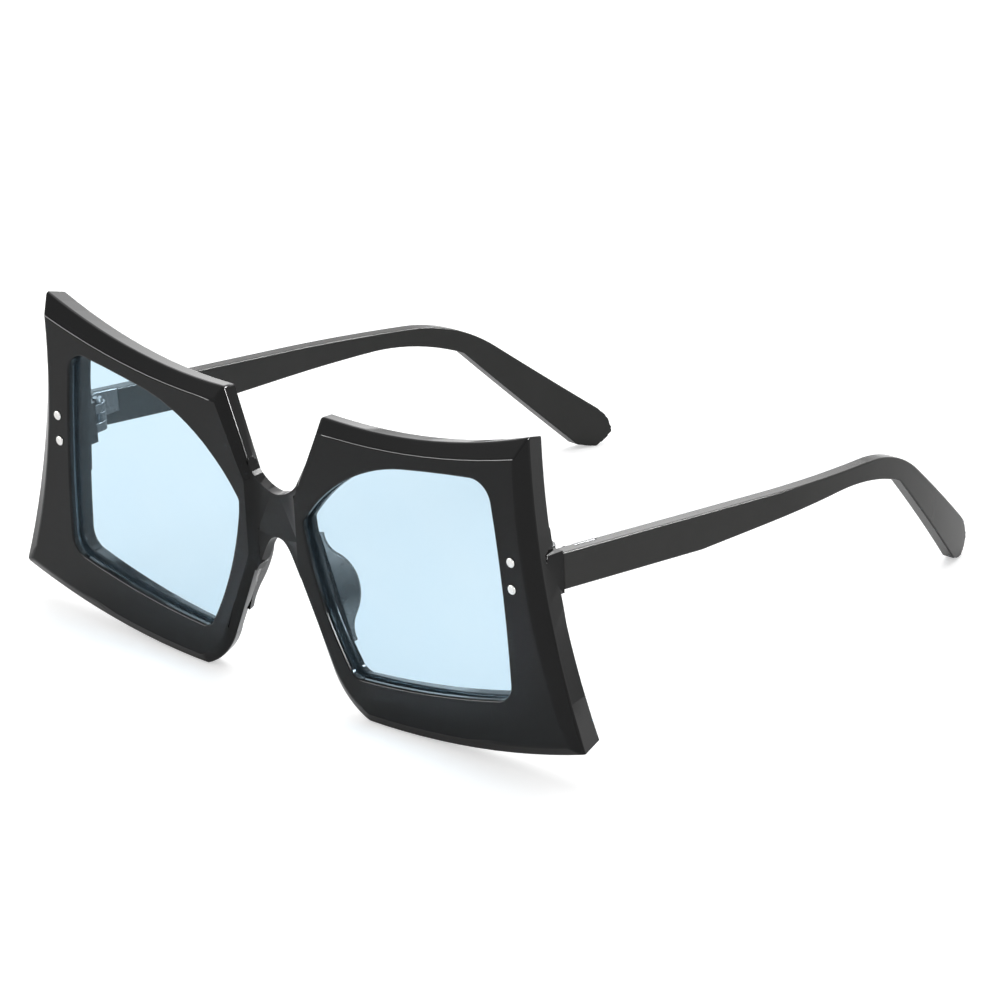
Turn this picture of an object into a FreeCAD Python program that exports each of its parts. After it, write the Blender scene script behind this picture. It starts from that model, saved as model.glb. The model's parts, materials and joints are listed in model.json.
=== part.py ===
import FreeCAD, Part
import math
import os
import Sketcher

# Driving sizes of the sunglasses, in millimetres and degrees.
# x runs from the nose line to the wearer's left, y from the front face back along the temples, z up.
SIZES = {
    # Wing outline of one rim, seen square on: the edge where the bevel meets the side walls.
    "horn_x": 13.5,
    "horn_z": 63.1,
    "wing_x": 66.1,
    "wing_z": 71.0,
    "heel_x": 77.9,
    "heel_z": 8.4,
    "cheek_x": 22.6,
    "cheek_z": 0.6,
    "foot_x": 13.5,
    "foot_z": 10.0,
    "nose_x": 5.6,
    "nose_low_z": 29.0,
    "nose_high_z": 44.5,
    "brow_hollow": 2.7,
    "flank_hollow": 2.8,
    "cheek_swell": 2.2,
    "foot_swell": 1.3,
    # Bevel round the wing: its depth at the table, its lean, and the step in to each corner of the flat face.
    "bevel_low_depth": 0.95,
    "bevel_tilt_angle": 1.4,
    "bevel_horn_x": 0.7,
    "bevel_horn_z": 2.4,
    "bevel_wing_x": 1.8,
    "bevel_wing_z": 4.2,
    "bevel_heel_x": 3.4,
    "bevel_heel_z": 1.2,
    "bevel_cheek_x": 1.0,
    "bevel_cheek_z": 2.1,
    "bevel_foot_x": 1.4,
    "bevel_foot_z": 1.0,
    "bevel_nose_x": 1.3,
    "bevel_nose_z": 0.5,
    "face_brow_hollow": 1.9,
    "face_flank_hollow": 2.9,
    "face_cheek_swell": 1.7,
    "face_foot_swell": 1.2,
    # Draft of the side walls: how far each corner is drawn in where the walls run out behind the rim.
    "back_horn_x": 0.4,
    "back_horn_z": 0.9,
    "back_wing_x": 1.1,
    "back_wing_z": 2.9,
    "back_heel_x": 1.7,
    "back_heel_z": 1.6,
    "back_cheek_x": 0.9,
    "back_cheek_z": 1.9,
    "back_foot_x": 5.0,
    "back_foot_z": 1.1,
    "back_nose_x": 2.6,
    "back_nose_z": 0.6,
    # Depth of the rim from its flat face at the wing and at the nose, the lean of its back, the half's turn.
    "rim_depth": 7.0,
    "rim_nose_depth": 4.1,
    "back_tilt_angle": 0.7,
    "wrap_angle": 2.1,
    # Sight opening: how far each of its corners lies inside the wing outline, and its bowed sides.
    "rim_nose_x": 3.2,
    "rim_nose_z": 4.1,
    "rim_brow_z": 5.85,
    "rim_wing_x": 8.9,
    "rim_wing_z": 10.3,
    "rim_heel_x": 17.0,
    "rim_heel_z": 7.4,
    "rim_cheek_x": -2.4,
    "rim_cheek_z": 9.2,
    "sight_brow_swell": 3.3,
    "sight_wing_swell": 0.2,
    "sight_flank_swell": 0.8,
    "sight_cheek_swell": 1.1,
    "sight_nose_swell": 1.8,
    "sight_nose_radius": 2.2,
    "sight_wing_radius": 4.5,
    "sight_heel_radius": 4.0,
    "sight_cheek_radius": 3.2,
    # Lens and the groove that holds its edge.
    "lens_thickness": 1.8,
    "lens_depth": 1.5,
    "groove_reach": 1.0,
    "lens_edge_fit": 0.1,
    "lens_side_fit": 0.05,
    # Bridge between the rims.
    "bridge_setback": 2.0,
    "bridge_thickness": 2.3,
    "bridge_top_drop": 0.9,
    "bridge_arch_rise": 4.4,
    "bridge_root_x": 1.8,
    "bridge_horn_rise": 5.2,
    "bridge_foot_x": 1.4,
    "bridge_foot_drop": 4.0,
    "bridge_top_hollow": 1.5,
    "bridge_arch_swell": 0.4,
    # Hinge pin, turned with the temple: in from the heel, behind the wing's back and above the heel.
    "pin_inset": 16.1,
    "pin_setback": 6.4,
    "pin_rise": 33.6,
    "toe_in_angle": 0.3,
    # Lug behind the wing that carries the front leaf.
    "lug_face": 2.95,
    "lug_root": 6.8,
    "lug_inner": 2.6,
    "lug_half_height": 4.4,
    "lug_draft": 0.7,
    # Front leaf, temple leaf, pin and rivets.
    "leaf_thickness": 1.4,
    "leaf_sink": 0.45,
    "leaf_inner": 2.4,
    "leaf_outer": 1.9,
    "leaf_half_height": 3.6,
    "leaf_fit": 0.05,
    "knuckle_radius": 1.6,
    "knuckle_height": 2.0,
    "knuckle_gap": 0.06,
    "pin_radius": 0.68,
    "pin_fit": 0.04,
    "pin_head_radius": 1.15,
    "pin_head_height": 0.7,
    "blade_thickness": 0.8,
    "blade_start": 0.6,
    "blade_length": 8.4,
    "blade_half_height": 2.9,
    "web_thickness": 1.0,
    "rivet_outward": 0.6,
    "rivet_rise": 0.4,
    "rivet_half_pitch": 2.8,
    "rivet_radius": 0.75,
    "rivet_fit": 0.02,
    "rivet_depth": 1.15,
    "rivet_head_radius": 1.0,
    "rivet_crown_radius": 0.6,
    "rivet_crown": 0.3,
    "rivet_lift": 0.08,
    # Temple in side view, drawn along its own top edge, which drops towards the ear.
    "temple_offset": 3.65,
    "temple_thickness": 3.0,
    "temple_height": 7.6,
    "temple_gap": 0.08,
    "temple_rise": 3.85,
    "drop_angle": 8.9,
    "straight_length": 42.3,
    "straight_height": 7.5,
    "bend_start": 97.4,
    "bend_run": 23.8,
    "bend_drop": 6.8,
    "bend_swell": 1.8,
    "bend_height": 4.0,
    "bend_inner_start": 87.9,
    "bend_inner_run": 24.8,
    "bend_inner_drop": 3.4,
    "bend_inner_hollow": 1.2,
    "tip_run": 27.1,
    "tip_drop": 17.0,
    "tip_nose_run": 2.8,
    "tip_nose_drop": 2.6,
    "tip_back_run": 1.2,
    "tip_back_drop": 3.2,
    "tip_sole_run": 3.3,
    "tip_sole_drop": 3.3,
    "tip_heel_run": 4.6,
    "tip_heel_rise": 0.7,
    # Temple in plan: straight behind the hinge, then swept in round the head.
    "sweep_start": 58.0,
    "sweep_radius": 237.0,
    # Nose pad on the back of the rim: a leaning fin with hollow feet and a round crown.
    "pad_inset": 5.6,
    "pad_drop": 3.8,
    "pad_slope_angle": 19.0,
    "pad_lean_angle": 20.0,
    "pad_length": 22.6,
    "pad_shoulder_length": 12.6,
    "pad_foot_height": 1.9,
    "pad_shoulder_height": 3.5,
    "pad_crown_swell": 2.6,
    "pad_thickness": 3.6,
    "pad_round": 1.0,
    "pad_bevel": 0.7,
    # Every cut runs this far past the solid that it opens.
    "overrun": 5.0,
}

# Where the sight opening's brow corner lies, as a share of the way from the horn to the wing.
BROW_SHARE = 0.4245
# Which way each corner of the sight opening moves when the opening grows by one.
SIGHT_GROWTH_SHARES = ((-1.3, 0.0), (-0.3, 1.0), (0.95, 1.05), (0.95, -1.05), (-0.8, -1.1))
# How close a straight edge must lie to a corner to be that corner's edge, as a share of the corner's radius.
CORNER_REACH_SHARE = 0.2
# Turns tried while the glasses settle on the table.
SETTLING_STEPS = 6

doc = FreeCAD.newDocument("Sunglasses")
sheet = doc.addObject("Spreadsheet::Sheet", "Sizes")


class Size:
    """A size known as a number and as the expression that ties it to the sheet."""

    def __init__(self, number, text):
        self.number = number
        self.text = text

    def __add__(self, other):
        other = as_size(other)
        return Size(self.number + other.number, f"({self.text} + {other.text})")

    def __sub__(self, other):
        other = as_size(other)
        return Size(self.number - other.number, f"({self.text} - {other.text})")

    def __mul__(self, other):
        other = as_size(other)
        return Size(self.number * other.number, f"({self.text} * {other.text})")

    def __truediv__(self, other):
        other = as_size(other)
        return Size(self.number / other.number, f"({self.text} / {other.text})")

    def __neg__(self):
        return Size(-self.number, f"(0 - {self.text})")


def as_size(thing):
    if isinstance(thing, Size):
        return thing
    return Size(float(thing), f"({float(thing)})")


def sine(angle):
    return Size(math.sin(math.radians(angle.number)), f"sin({angle.text} * 1 deg)")


def cosine(angle):
    return Size(math.cos(math.radians(angle.number)), f"cos({angle.text} * 1 deg)")


def tangent(angle):
    return Size(math.tan(math.radians(angle.number)), f"tan({angle.text} * 1 deg)")


def root(thing):
    return Size(math.sqrt(thing.number), f"sqrt({thing.text})")


def fill_sheet():
    """Write every driving size into the sheet and hand each back by name."""
    named = {}
    for row, (name, number) in enumerate(SIZES.items(), start=1):
        sheet.set(f"A{row}", name)
        sheet.set(f"B{row}", str(number))
        sheet.setAlias(f"B{row}", name)
        named[name] = Size(number, f"Sizes.{name}")
    doc.recompute()
    return named


size = fill_sheet()
ZERO = as_size(0)

# Place of the hinge pin, seen in the object's own frame before it is stood on the table.
PIN_X = size["heel_x"] - size["pin_inset"]
PIN_Y = size["rim_depth"] + size["pin_setback"]
PIN_Z = size["heel_z"] + size["pin_rise"]


def new_body(name):
    body = doc.addObject("PartDesign::Body", name)
    body.Label = name
    return body


def origin_plane(body, role):
    return next(item for item in body.Origin.OriginFeatures if item.Role == role)


def attach(item, support, place=(ZERO, ZERO, ZERO), axis=None, angle=ZERO):
    """Lay a sketch or plane on a support, moved by place and turned about axis in the support's frame."""
    item.AttachmentSupport = [(support, "")]
    item.MapMode = "FlatFace"
    base = FreeCAD.Vector(*[step.number for step in place])
    turn = FreeCAD.Rotation()
    if axis is not None:
        turn = FreeCAD.Rotation(FreeCAD.Vector(*axis), angle.number)
    item.AttachmentOffset = FreeCAD.Placement(base, turn)
    for letter, step in zip("xyz", place):
        item.setExpression(f"AttachmentOffset.Base.{letter}", step.text)
    if axis is not None:
        item.setExpression("AttachmentOffset.Rotation.Angle", f"{angle.text} * 1 deg")


def new_sketch(body, name, role, place=(ZERO, ZERO, ZERO), axis=None, angle=ZERO):
    """Sketch on one of the body's own planes, moved by place and turned about axis in that plane's frame."""
    sketch = body.newObject("Sketcher::SketchObject", name)
    attach(sketch, origin_plane(body, role), place, axis, angle)
    return sketch


def flat(point):
    return FreeCAD.Vector(point[0].number, point[1].number, 0)


def end_at(sketch, edge, spot):
    """Which end of a drawn edge lies at a spot."""
    return min((1, 2), key=lambda end: sketch.getPoint(edge, end).distanceToPoint(spot))


def pin_point(sketch, edge, end, point):
    """Hold one end of an edge at a point given in sheet sizes."""
    for kind, line, step in (("DistanceX", -2, point[0]), ("DistanceY", -1, point[1])):
        if step is ZERO:
            sketch.addConstraint(Sketcher.Constraint("PointOnObject", edge, end, line))
        else:
            held = sketch.addConstraint(Sketcher.Constraint(kind, -1, 1, edge, end, step.number))
            sketch.setExpression(f"Constraints[{held}]", step.text)


def draw(sketch, corners, swells):
    """Closed outline; a stretch with a swell is an arc that stands off its chord, left of the way round."""
    count = len(corners)
    first = sketch.GeometryCount
    for index, (start, swell) in enumerate(zip(corners, swells)):
        here = flat(start)
        there = flat(corners[(index + 1) % count])
        if swell is None:
            sketch.addGeometry(Part.LineSegment(here, there), False)
            continue
        along = (there - here).normalize()
        crown = (here + there) / 2 + FreeCAD.Vector(-along.y, along.x, 0) * swell.number
        sketch.addGeometry(Part.Arc(here, crown, there), False)
    for index, start in enumerate(corners):
        edge = first + index
        before = first + (index - 1) % count
        spot = flat(start)
        near = end_at(sketch, edge, spot)
        far = end_at(sketch, before, spot)
        sketch.addConstraint(Sketcher.Constraint("Coincident", before, far, edge, near))
        pin_point(sketch, edge, near, start)
    for index, swell in enumerate(swells):
        if swell is None:
            continue
        run = corners[(index + 1) % count][0] - corners[index][0]
        rise = corners[(index + 1) % count][1] - corners[index][1]
        rest = swell if swell.number > 0 else -swell
        radius = (run * run + rise * rise) / (rest * 8) + rest / 2
        held = sketch.addConstraint(Sketcher.Constraint("Radius", first + index, radius.number))
        sketch.setExpression(f"Constraints[{held}]", radius.text)


def draw_box(sketch, left, right, low, high):
    draw(sketch, [(left, low), (left, high), (right, high), (right, low)], [None] * 4)


def draw_circle(sketch, centre, radius):
    ring = sketch.addGeometry(Part.Circle(flat(centre), FreeCAD.Vector(0, 0, 1), radius.number), False)
    pin_point(sketch, ring, 3, centre)
    held = sketch.addConstraint(Sketcher.Constraint("Radius", ring, radius.number))
    sketch.setExpression(f"Constraints[{held}]", radius.text)


def extrude(body, kind, sketch, name, length=None, reverse=False, symmetric=False):
    """Pad or Pocket of a sketch; with no length it goes through everything."""
    feature = body.newObject(f"PartDesign::{kind}", name)
    feature.Profile = sketch
    feature.Reversed = reverse
    if symmetric:
        feature.SideType = "Symmetric"
    if length is None:
        feature.Type = "ThroughAll"
    else:
        feature.Length = length.number
        feature.setExpression("Length", length.text)
    doc.recompute()
    return feature


def revolve(body, sketch, name):
    """Full turn of a half outline about the sketch's upright axis."""
    feature = body.newObject("PartDesign::Revolution", name)
    feature.Profile = sketch
    feature.ReferenceAxis = (sketch, ["V_Axis"])
    doc.recompute()
    return feature


def round_edges(body, base, name, edges, radius):
    feature = body.newObject("PartDesign::Fillet", name)
    feature.Base = (base, edges)
    feature.Radius = radius.number
    feature.setExpression("Radius", radius.text)
    doc.recompute()
    return feature


def bevel_edges(body, base, name, edges, width):
    feature = body.newObject("PartDesign::Chamfer", name)
    feature.Base = (base, edges)
    feature.Size = width.number
    feature.setExpression("Size", width.text)
    doc.recompute()
    return feature


def corner_edges(feature, spot, way, reach):
    """Names of the straight edges of a feature that run along way through a spot."""
    found = []
    for number, edge in enumerate(feature.Shape.Edges, start=1):
        ends = [vertex.Point for vertex in edge.Vertexes]
        if len(ends) < 2:
            continue
        if all((end - spot).cross(way).Length < reach for end in ends):
            found.append(f"Edge{number}")
    return found


# The face frame is turned back by the wrap; the hinge frame lies at the pin and is turned in with the temple.
FACE_TURN = FreeCAD.Rotation(FreeCAD.Vector(0, 0, 1), size["wrap_angle"].number)
HINGE_TURN = FreeCAD.Rotation(FreeCAD.Vector(0, 0, 1), size["toe_in_angle"].number)


def face_place(depth):
    """Where a plane at a depth behind the flat face lies, seen from the upright middle plane."""
    turn = size["wrap_angle"]
    return -(depth * sine(turn)), ZERO, -(depth * cosine(turn))


def face_sketch(body, name, depth):
    """Sketch parallel to the flat face of the rim, at a depth behind it."""
    return new_sketch(body, name, "XZ_Plane", face_place(depth), (0, 1, 0), size["wrap_angle"])


def leaning_sketch(body, name, role, place, axis, lean):
    """Sketch turned about axis with the flat face, whose upright leans back from the face as it rises."""
    plane = body.newObject("PartDesign::Plane", f"{name}_plane")
    attach(plane, origin_plane(body, role), place, axis, size["wrap_angle"])
    doc.recompute()
    sketch = body.newObject("Sketcher::SketchObject", name)
    attach(sketch, plane, axis=(1, 0, 0), angle=-lean)
    return sketch


def face_point(point, depth):
    """Spot on the face, in the object's frame, from its place on the flat face and its depth."""
    return FACE_TURN.multVec(FreeCAD.Vector(point[0].number, depth.number, point[1].number))


def outline_swells(kind):
    """Swells of the stretches from horn to wing, heel, cheek, foot and nose; the last three are straight."""
    return [
        -size[f"{kind}brow_hollow"],
        -size[f"{kind}flank_hollow"],
        size[f"{kind}cheek_swell"],
        size[f"{kind}foot_swell"],
        None,
        None,
        None,
    ]


def wing_outline():
    corners = [
        (size["horn_x"], size["horn_z"]),
        (size["wing_x"], size["wing_z"]),
        (size["heel_x"], size["heel_z"]),
        (size["cheek_x"], size["cheek_z"]),
        (size["foot_x"], size["foot_z"]),
        (size["nose_x"], size["nose_low_z"]),
        (size["nose_x"], size["nose_high_z"]),
    ]
    return corners, outline_swells("")


def stepped_in(kind):
    """Corners of the wing outline, each stepped in by the sizes of one kind."""
    nose = size["nose_x"] + size[f"{kind}_nose_x"]
    return [
        (size["horn_x"] + size[f"{kind}_horn_x"], size["horn_z"] - size[f"{kind}_horn_z"]),
        (size["wing_x"] - size[f"{kind}_wing_x"], size["wing_z"] - size[f"{kind}_wing_z"]),
        (size["heel_x"] - size[f"{kind}_heel_x"], size["heel_z"] + size[f"{kind}_heel_z"]),
        (size["cheek_x"] + size[f"{kind}_cheek_x"], size["cheek_z"] + size[f"{kind}_cheek_z"]),
        (size["foot_x"] + size[f"{kind}_foot_x"], size["foot_z"] + size[f"{kind}_foot_z"]),
        (nose, size["nose_low_z"] + size[f"{kind}_nose_z"]),
        (nose, size["nose_high_z"] + size[f"{kind}_nose_z"]),
    ]


def ruled_loft(body, name, first, last):
    """Straight-sided solid between two outlines with matching corners."""
    loft = body.newObject("PartDesign::AdditiveLoft", name)
    loft.Profile = first
    loft.Sections = [last]
    loft.Ruled = True
    doc.recompute()


def sight_outline(growth):
    """Sight opening, set in from the wing outline, with every side moved outward by growth."""
    brow_x = size["horn_x"] + (size["wing_x"] - size["horn_x"]) * BROW_SHARE
    brow_z = size["horn_z"] + (size["wing_z"] - size["horn_z"]) * BROW_SHARE
    places = [
        (size["nose_x"] + size["rim_nose_x"], size["nose_high_z"] - size["rim_nose_z"]),
        (brow_x, brow_z - size["brow_hollow"] - size["rim_brow_z"]),
        (size["wing_x"] - size["rim_wing_x"], size["wing_z"] - size["rim_wing_z"]),
        (size["heel_x"] - size["rim_heel_x"], size["heel_z"] + size["rim_heel_z"]),
        (size["cheek_x"] + size["rim_cheek_x"], size["cheek_z"] + size["rim_cheek_z"]),
    ]
    corners = []
    for place, (across, up) in zip(places, SIGHT_GROWTH_SHARES):
        corners.append((place[0] + growth * across, place[1] + growth * up))
    swells = [size[f"sight_{name}_swell"] for name in ("brow", "wing", "flank", "cheek", "nose")]
    return corners, swells


def round_sight(body, base, label, growth, depth):
    """Round the corners of a sight opening, or of a lens, that was cut or padded with the same growth."""
    corners = sight_outline(growth)[0]
    for name, corner in (("nose", 0), ("wing", 2), ("heel", 3), ("cheek", 4)):
        radius = size[f"sight_{name}_radius"] + growth
        spot = face_point(corners[corner], depth)
        way = FACE_TURN.multVec(FreeCAD.Vector(0, 1, 0))
        edges = corner_edges(base, spot, way, radius.number * CORNER_REACH_SHARE)
        base = round_edges(body, base, f"{label}_{name}_round", edges, radius)
    return base


def hinge_top_sketch(body, name):
    """Plan view sketch in the hinge frame of the front."""
    return new_sketch(body, name, "XY_Plane", (PIN_X, PIN_Y, PIN_Z), (0, 0, 1), size["toe_in_angle"])


def build_front():
    """One half of the front is built up, then mirrored about the nose line."""
    body = new_body("front_frame")
    edge = face_place(size["bevel_low_depth"])
    wing = leaning_sketch(body, "wing_outline", "XZ_Plane", edge, (0, 1, 0), size["bevel_tilt_angle"])
    draw(wing, *wing_outline())
    behind = size["rim_depth"] + size["overrun"]
    back = face_sketch(body, "back_outline", behind)
    draw(back, stepped_in("back"), outline_swells(""))
    ruled_loft(body, "rim_wall", wing, back)
    face = face_sketch(body, "face_outline", ZERO)
    draw(face, stepped_in("bevel"), outline_swells("face_"))
    ruled_loft(body, "mitred_bevel", wing, face)

    upright = (ZERO, ZERO, ZERO)
    slant = leaning_sketch(body, "back_slope", "XY_Plane", upright, (0, 0, 1), size["back_tilt_angle"])
    inner = size["nose_x"] - size["overrun"]
    outer = size["heel_x"] + size["overrun"]
    clear = behind + size["overrun"]
    slope = [(inner, size["rim_nose_depth"]), (inner, clear), (outer, clear), (outer, size["rim_depth"])]
    draw(slant, slope, [None] * 4)
    extrude(body, "Pocket", slant, "thin_nose", symmetric=True)

    sight = face_sketch(body, "sight_outline", ZERO)
    draw(sight, *sight_outline(ZERO))
    hole = extrude(body, "Pocket", sight, "sight_opening")
    hole = round_sight(body, hole, "sight", ZERO, ZERO)

    groove_start = size["lens_depth"] - size["lens_side_fit"]
    groove = face_sketch(body, "groove_outline", groove_start)
    draw(groove, *sight_outline(size["groove_reach"]))
    slot = extrude(body, "Pocket", groove, "lens_groove", size["lens_thickness"] + size["lens_side_fit"] * 2)
    round_sight(body, slot, "groove", size["groove_reach"], groove_start)

    build_bridge(body)
    build_lug(body)
    whole = body.newObject("PartDesign::Mirrored", "both_halves")
    whole.TransformMode = "Whole shape"
    whole.MirrorPlane = (origin_plane(body, "YZ_Plane"), [""])
    body.Tip = whole
    doc.recompute()
    return body


def build_bridge(body):
    """Half of the set-back bridge, from the nose line into the rim."""
    saddle = new_sketch(body, "bridge_outline", "XZ_Plane", (ZERO, ZERO, -size["bridge_setback"]))
    corners = [
        (ZERO, size["nose_low_z"] + size["bridge_arch_rise"]),
        (ZERO, size["nose_high_z"] - size["bridge_top_drop"]),
        (size["nose_x"] + size["bridge_root_x"], size["nose_high_z"] + size["bridge_horn_rise"]),
        (size["nose_x"] + size["bridge_foot_x"], size["nose_low_z"] - size["bridge_foot_drop"]),
    ]
    draw(saddle, corners, [None, -size["bridge_top_hollow"], None, -size["bridge_arch_swell"]])
    extrude(body, "Pad", saddle, "bridge", size["bridge_thickness"], reverse=True)


def build_lug(body):
    """Lug behind the wing, its seat for the hinge leaf and the rivet holes."""
    lug = hinge_top_sketch(body, "lug_plan")
    outer = size["temple_offset"] + size["temple_thickness"]
    corners = [
        (-size["lug_inner"], -size["lug_root"]),
        (-size["lug_inner"], -size["lug_face"]),
        (outer, -size["lug_face"]),
        (outer - size["lug_draft"], -size["lug_root"]),
    ]
    draw(lug, corners, [None] * 4)
    extrude(body, "Pad", lug, "lug", size["lug_half_height"] * 2, symmetric=True)

    fit = size["leaf_fit"]
    floor = size["lug_face"] + size["leaf_sink"] + size["leaf_thickness"]
    seat = hinge_top_sketch(body, "leaf_seat_plan")
    draw_box(seat, -(size["leaf_inner"] + fit), size["leaf_outer"] + fit, -floor, size["overrun"])
    extrude(body, "Pocket", seat, "leaf_seat", (size["leaf_half_height"] + fit) * 2, symmetric=True)

    turn = size["toe_in_angle"]
    ahead = floor - size["rivet_depth"]
    place = (PIN_X + ahead * sine(turn), PIN_Z + size["rivet_rise"], -(PIN_Y - ahead * cosine(turn)))
    holes = new_sketch(body, "rivet_holes", "XZ_Plane", place, (0, 1, 0), turn)
    for pitch in (size["rivet_half_pitch"], -size["rivet_half_pitch"]):
        draw_circle(holes, (size["rivet_outward"], pitch), size["rivet_radius"] + size["rivet_fit"])
    extrude(body, "Pocket", holes, "rivet_holes_cut", reverse=True)


def build_lens():
    body = new_body("lens_left")
    growth = size["groove_reach"] - size["lens_edge_fit"]
    outline = face_sketch(body, "lens_outline", size["lens_depth"])
    draw(outline, *sight_outline(growth))
    pane = extrude(body, "Pad", outline, "pane", size["lens_thickness"], reverse=True)
    round_sight(body, pane, "pane", growth, size["lens_depth"])
    return body


def pad_foot_hollow():
    """How hollow the foot of the pad must be to flow into its crown without a kink."""
    run = (size["pad_length"] - size["pad_shoulder_length"]) / 2
    rise = size["pad_shoulder_height"] - size["pad_foot_height"]
    slant = root(run * run + rise * rise)
    crown = size["pad_crown_swell"] * 2 / size["pad_shoulder_length"]
    foot = (slant - run) / rise
    return slant / 2 * (crown - foot) / (crown * foot + 1)


def crest_edges(fin, side):
    """Names of the arcs along one side of the pad's crest: 1 towards the lens, -1 towards the nose."""
    found = []
    for number, edge in enumerate(fin.Shape.Edges, start=1):
        arc = edge.Curve
        if isinstance(arc, Part.Circle) and side * arc.Axis.x * arc.Axis.dot(arc.Center) > 0:
            found.append(f"Edge{number}")
    return found


def build_nose_pad():
    """Fin that leans away from the nose, cut flat where it seats on the rim.

    Its crest is rounded on the side that touches the nose and bevelled on the side of the lens.
    """
    body = new_body("nose_pad_left")
    half = size["pad_length"] / 2
    shoulder = size["pad_shoulder_length"] / 2
    side = new_sketch(body, "fin_side", "YZ_Plane", axis=(0, 1, 0), angle=-size["pad_lean_angle"])
    corners = [
        (-size["pad_thickness"], -half),
        (-size["pad_thickness"], half),
        (size["pad_foot_height"], half),
        (size["pad_shoulder_height"], shoulder),
        (size["pad_shoulder_height"], -shoulder),
        (size["pad_foot_height"], -half),
    ]
    hollow = -pad_foot_hollow()
    draw(side, corners, [None, None, hollow, size["pad_crown_swell"], hollow, None])
    extrude(body, "Pad", side, "fin", size["pad_thickness"], symmetric=True)
    seat = new_sketch(body, "seat_plan", "XY_Plane")
    draw_box(seat, -size["pad_length"], size["pad_length"], -size["pad_length"], ZERO)
    fin = extrude(body, "Pocket", seat, "seat_cut", symmetric=True)
    fin = bevel_edges(body, fin, "crest_bevel", crest_edges(fin, 1), size["pad_bevel"])
    round_edges(body, fin, "crest_round", crest_edges(fin, -1), size["pad_round"])
    return body


def build_front_leaf():
    """Front leaf of the hinge: a plate let into the lug, with an upper and a lower knuckle."""
    body = new_body("front_hinge_left")
    back = size["lug_face"] + size["leaf_sink"]
    floor = back + size["leaf_thickness"]
    height = size["leaf_half_height"]
    plate = new_sketch(body, "plate_outline", "XZ_Plane", (ZERO, ZERO, floor))
    draw_box(plate, -size["leaf_inner"], size["leaf_outer"], -height, height)
    extrude(body, "Pad", plate, "plate", size["leaf_thickness"], reverse=True)
    middle = size["knuckle_height"] / 2
    radius = size["knuckle_radius"]
    for name, start in (("upper", middle + size["knuckle_gap"]), ("lower", -(middle + size["knuckle_gap"]))):
        below = name == "lower"
        web = new_sketch(body, f"{name}_web_plan", "XY_Plane", (ZERO, ZERO, start))
        draw_box(web, -radius, radius, -back, ZERO)
        extrude(body, "Pad", web, f"{name}_web", size["knuckle_height"], reverse=below)
        knuckle = new_sketch(body, f"{name}_knuckle_plan", "XY_Plane", (ZERO, ZERO, start))
        draw_circle(knuckle, (ZERO, ZERO), radius)
        extrude(body, "Pad", knuckle, f"{name}_knuckle", size["knuckle_height"], reverse=below)
    bore_knuckles(body)
    holes = new_sketch(body, "rivet_sockets", "XZ_Plane", (ZERO, size["rivet_rise"], floor))
    for pitch in (size["rivet_half_pitch"], -size["rivet_half_pitch"]):
        draw_circle(holes, (size["rivet_outward"], pitch), size["rivet_radius"] + size["rivet_fit"])
    extrude(body, "Pocket", holes, "rivet_sockets_cut", size["rivet_depth"])
    return body


def bore_knuckles(body):
    bore = new_sketch(body, "bore_plan", "XY_Plane")
    draw_circle(bore, (ZERO, ZERO), size["pin_radius"] + size["pin_fit"])
    extrude(body, "Pocket", bore, "bore", symmetric=True)


def build_temple_leaf():
    """Temple leaf of the hinge: a blade let into the temple, a web and the middle knuckle."""
    body = new_body("temple_hinge_left")
    start = size["blade_start"]
    height = size["blade_half_height"]
    blade = new_sketch(body, "blade_outline", "YZ_Plane", (ZERO, ZERO, size["temple_offset"]))
    draw_box(blade, start, start + size["blade_length"], -height, height)
    extrude(body, "Pad", blade, "blade", size["blade_thickness"])
    web = new_sketch(body, "web_plan", "XY_Plane")
    draw_box(web, ZERO, size["temple_offset"] + size["blade_thickness"], start, start + size["web_thickness"])
    extrude(body, "Pad", web, "web", size["knuckle_height"], symmetric=True)
    knuckle = new_sketch(body, "middle_knuckle_plan", "XY_Plane")
    draw_circle(knuckle, (ZERO, ZERO), size["knuckle_radius"])
    extrude(body, "Pad", knuckle, "middle_knuckle", size["knuckle_height"], symmetric=True)
    bore_knuckles(body)
    return body


def build_pin():
    """Hinge screw: its shank fills the three knuckles and its head sits on the upper one."""
    body = new_body("hinge_screw_left")
    top = size["knuckle_height"] * 3 / 2 + size["knuckle_gap"]
    head = top + size["pin_head_height"]
    profile = new_sketch(body, "screw_profile", "XZ_Plane")
    corners = [
        (ZERO, -top),
        (ZERO, head),
        (size["pin_head_radius"], head),
        (size["pin_head_radius"], top),
        (size["pin_radius"], top),
        (size["pin_radius"], -top),
    ]
    draw(profile, corners, [None] * 6)
    revolve(body, profile, "screw")
    return body


def rivet_face():
    """How far the flat face lies ahead of the pin, along a rivet."""
    lean = tangent(size["wrap_angle"])
    turn = size["toe_in_angle"]
    across = PIN_X + size["rivet_outward"] * cosine(turn)
    ahead = PIN_Y + size["rivet_outward"] * sine(turn) - lean * across
    return ahead / (cosine(turn) + lean * sine(turn))


def build_rivet(name):
    """Rivet with a low crowned head on the face and its tail in the hinge leaf."""
    body = new_body(name)
    seat = rivet_face() + size["rivet_lift"]
    tail = size["lug_face"] + size["leaf_sink"] + size["leaf_thickness"] - size["rivet_depth"]
    crown = seat + size["rivet_crown"]
    profile = new_sketch(body, "rivet_profile", "XY_Plane")
    corners = [
        (ZERO, -crown),
        (ZERO, -tail),
        (size["rivet_radius"], -tail),
        (size["rivet_radius"], -seat),
        (size["rivet_head_radius"], -seat),
        (size["rivet_crown_radius"], -crown),
    ]
    draw(profile, corners, [None] * len(corners))
    revolve(body, profile, "rivet")
    return body


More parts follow.
